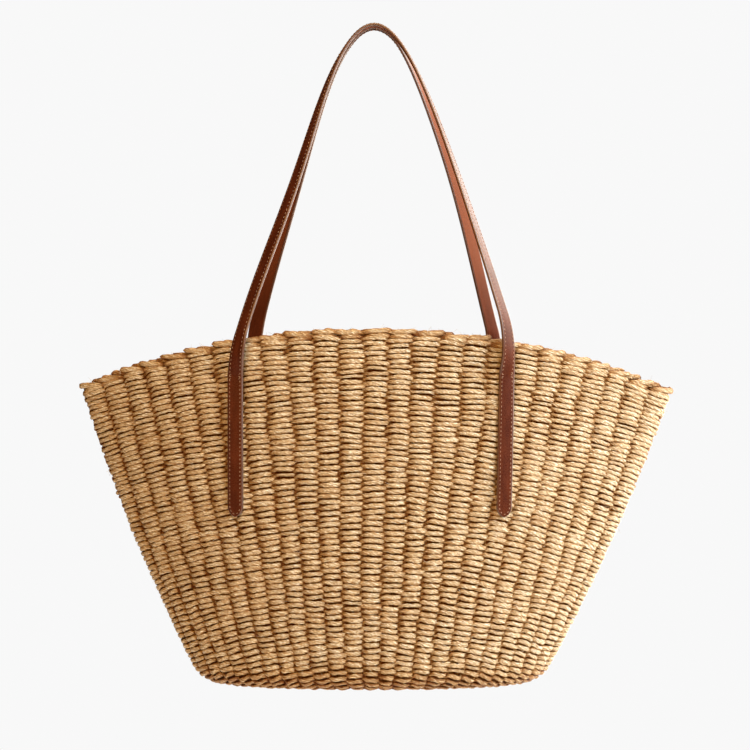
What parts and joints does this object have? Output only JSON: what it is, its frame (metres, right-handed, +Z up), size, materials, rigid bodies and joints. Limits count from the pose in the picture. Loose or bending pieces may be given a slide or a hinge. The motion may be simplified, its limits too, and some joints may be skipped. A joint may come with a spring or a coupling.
{
  "type": "woven tote",
  "caption": "Fan-shaped straw shoulder tote woven over upright ribs, with a flat oval base, a scalloped rim and a pair of flat leather handles that meet overhead.",
  "frame": {"origin": "the hang point: underside of the two handles at the top of their arch, where a hook, bar or hand carries the bag", "axes": "+Z up, +X to the right as the front is seen, the front faces -Y"},
  "size_m": [0.5247, 0.157, 0.5818],
  "materials": {
    "straw": "matt twisted paper straw in mixed tan and cream",
    "border_straw": "matt twisted paper straw, a little darker",
    "leather": "smooth reddish brown leather with dark edges and pale stitches"
  },
  "bodies": {
    "root": {"woven_base": "straw", "woven_wall": "straw", "rim_border": "border_straw", "handle_front": "leather", "handle_back": "leather"}
  },
  "joints": []
}
